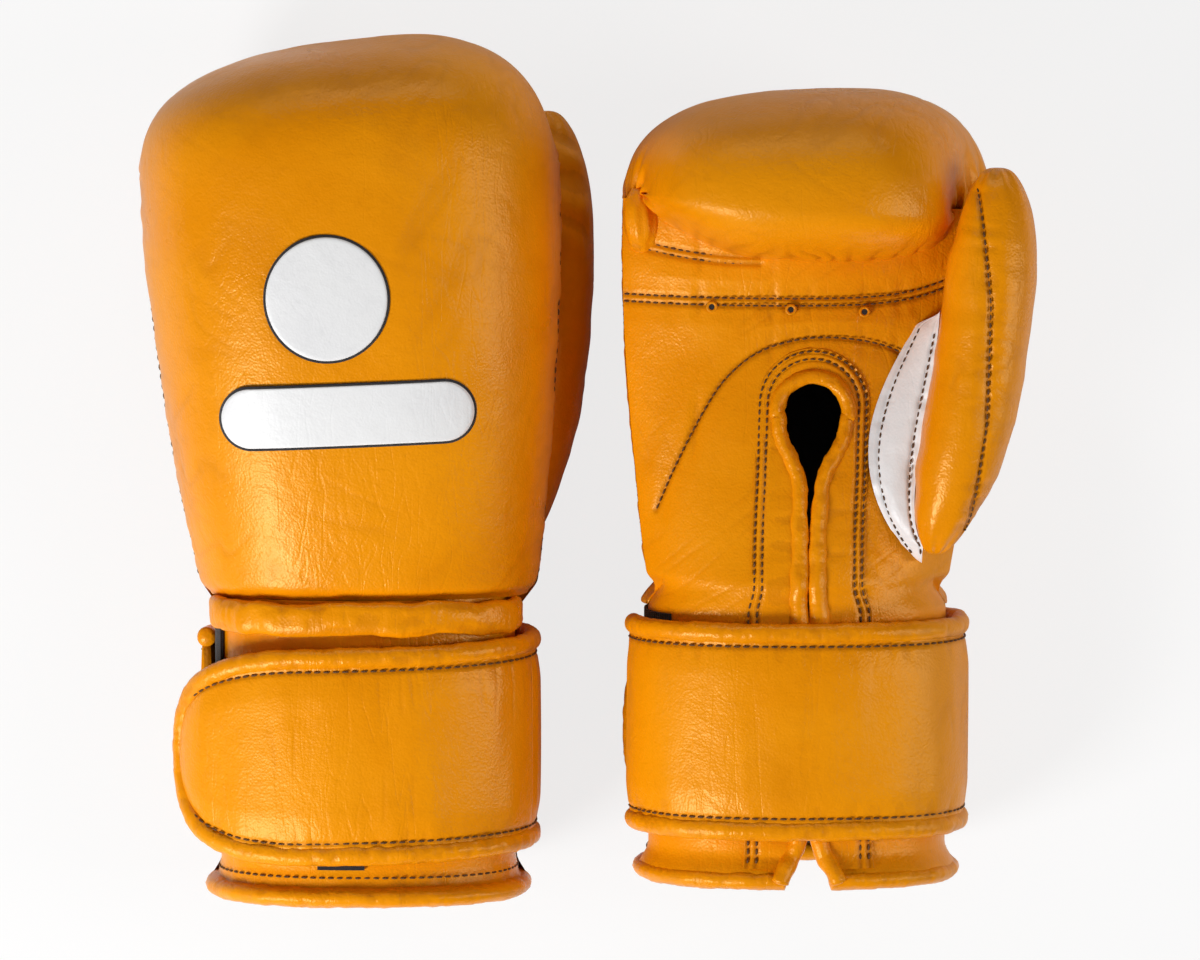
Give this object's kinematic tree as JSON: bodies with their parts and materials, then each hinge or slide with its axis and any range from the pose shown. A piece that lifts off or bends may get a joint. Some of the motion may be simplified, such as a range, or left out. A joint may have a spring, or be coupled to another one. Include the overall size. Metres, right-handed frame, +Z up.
{
  "type": "boxing gloves",
  "caption": "Pair of golden-yellow leather boxing gloves with hook-and-loop wrist straps, the left one lying palm down and the right one palm up.",
  "frame": {"origin": "on the surface that the gloves lie on, below the middle of the pair's box", "axes": "+X from the left glove to the right glove, towards the thumb side of both, +Y from the cuffs to the knuckles, +Z up"},
  "size_m": [0.315, 0.3087, 0.128],
  "materials": {
    "amber_leather": "glossy amber-yellow cowhide with fine creases",
    "white_leather": "smooth white leather",
    "foam": "closed-cell padding",
    "lining": "black satin lining",
    "loop_fabric": "black hook-and-loop tape"
  },
  "bodies": {
    "left_glove": {"left_main_shell": "amber_leather", "left_knuckle_foam": "foam", "left_back_lining": "lining", "left_palm_lining": "lining", "left_palm_pad": "foam", "left_palm_panel": "amber_leather", "left_finger_band": "amber_leather", "left_grip_bar": "foam", "left_keyhole_panel": "amber_leather", "left_keyhole_binding": "amber_leather", "left_thumb_gusset": "white_leather", "left_thumb_lock": "amber_leather", "left_wrist_band": "amber_leather", "left_cuff_shell": "amber_leather", "left_cuff_foam": "foam", "left_cuff_lining": "lining", "left_cuff_hem": "amber_leather", "left_strap_anchor": "loop_fabric", "left_loop_panel": "loop_fabric", "left_strap_palm_run": "amber_leather", "left_strap_palm_edging": "amber_leather", "left_back_patches": "white_leather", "left_size_tab": "loop_fabric"},
    "left_strap_side_link": {"left_strap_side_run": "amber_leather", "left_strap_side_edging": "amber_leather"},
    "left_strap_end_link": {"left_strap_end": "amber_leather", "left_strap_end_edging": "amber_leather", "left_hook_patch": "loop_fabric"},
    "left_thumb": {"left_thumb_shell": "amber_leather", "left_thumb_foam": "foam"},
    "right_glove": {"right_main_shell": "amber_leather", "right_knuckle_foam": "foam", "right_back_lining": "lining", "right_palm_lining": "lining", "right_palm_pad": "foam", "right_palm_panel": "amber_leather", "right_finger_band": "amber_leather", "right_grip_bar": "foam", "right_keyhole_panel": "amber_leather", "right_keyhole_binding": "amber_leather", "right_thumb_gusset": "white_leather", "right_thumb_lock": "amber_leather", "right_wrist_band": "amber_leather", "right_cuff_shell": "amber_leather", "right_cuff_foam": "foam", "right_cuff_lining": "lining", "right_cuff_hem": "amber_leather", "right_strap_anchor": "loop_fabric", "right_loop_panel": "loop_fabric", "right_strap_palm_run": "amber_leather", "right_strap_palm_edging": "amber_leather", "right_back_patches": "white_leather", "right_size_tab": "loop_fabric"},
    "right_strap_side_link": {"right_strap_side_run": "amber_leather", "right_strap_side_edging": "amber_leather"},
    "right_strap_end_link": {"right_strap_end": "amber_leather", "right_strap_end_edging": "amber_leather", "right_hook_patch": "loop_fabric"},
    "right_thumb": {"right_thumb_shell": "amber_leather", "right_thumb_foam": "foam"}
  },
  "joints": [
    {"name": "left_strap_swing", "type": "hinge", "parent": "left_glove", "child": "left_strap_side_link", "pos_m": [-0.01851, -0.09555, 0.0482], "axis": [0, 0.9966, 0.0819], "range_deg": [0, 40]},
    {"name": "left_strap_end_curl", "type": "hinge", "parent": "left_strap_side_link", "child": "left_strap_end_link", "pos_m": [-0.05201, -0.09882, 0.08801], "axis": [0, 0.9966, 0.0819], "range_deg": [0, 50]},
    {"name": "left_thumb_flex", "type": "hinge", "parent": "left_glove", "child": "left_thumb", "pos_m": [-0.02819, -0.02116, 0.01418], "axis": [0, 0.0819, -0.9966], "range_deg": [0, 3], "stiffness_Nm_per_rad": 2},
    {"name": "right_strap_swing", "type": "hinge", "parent": "right_glove", "child": "right_strap_side_link", "pos_m": [0.1345, -0.08952, 0.04821], "axis": [0, -0.9971, -0.0767], "range_deg": [0, 40]},
    {"name": "right_strap_end_curl", "type": "hinge", "parent": "right_strap_side_link", "child": "right_strap_end_link", "pos_m": [0.10099, -0.08646, 0.00838], "axis": [0, -0.9971, -0.0767], "range_deg": [0, 50]},
    {"name": "right_thumb_flex", "type": "hinge", "parent": "right_glove", "child": "right_thumb", "pos_m": [0.12001, -0.02523, 0.09328], "axis": [0, 0.0767, -0.9971], "range_deg": [0, 3], "stiffness_Nm_per_rad": 2},
    {"name": "right_glove_lift", "type": "slide", "parent": "left_glove", "child": "right_glove", "axis": [0, 0, 1], "range_m": [0, 0.25]}
  ],
  "couplings": [
    {"joint": "left_strap_end_curl", "follows": "left_strap_swing", "ratio": 1.2},
    {"joint": "right_strap_end_curl", "follows": "right_strap_swing", "ratio": 1.2}
  ]
}
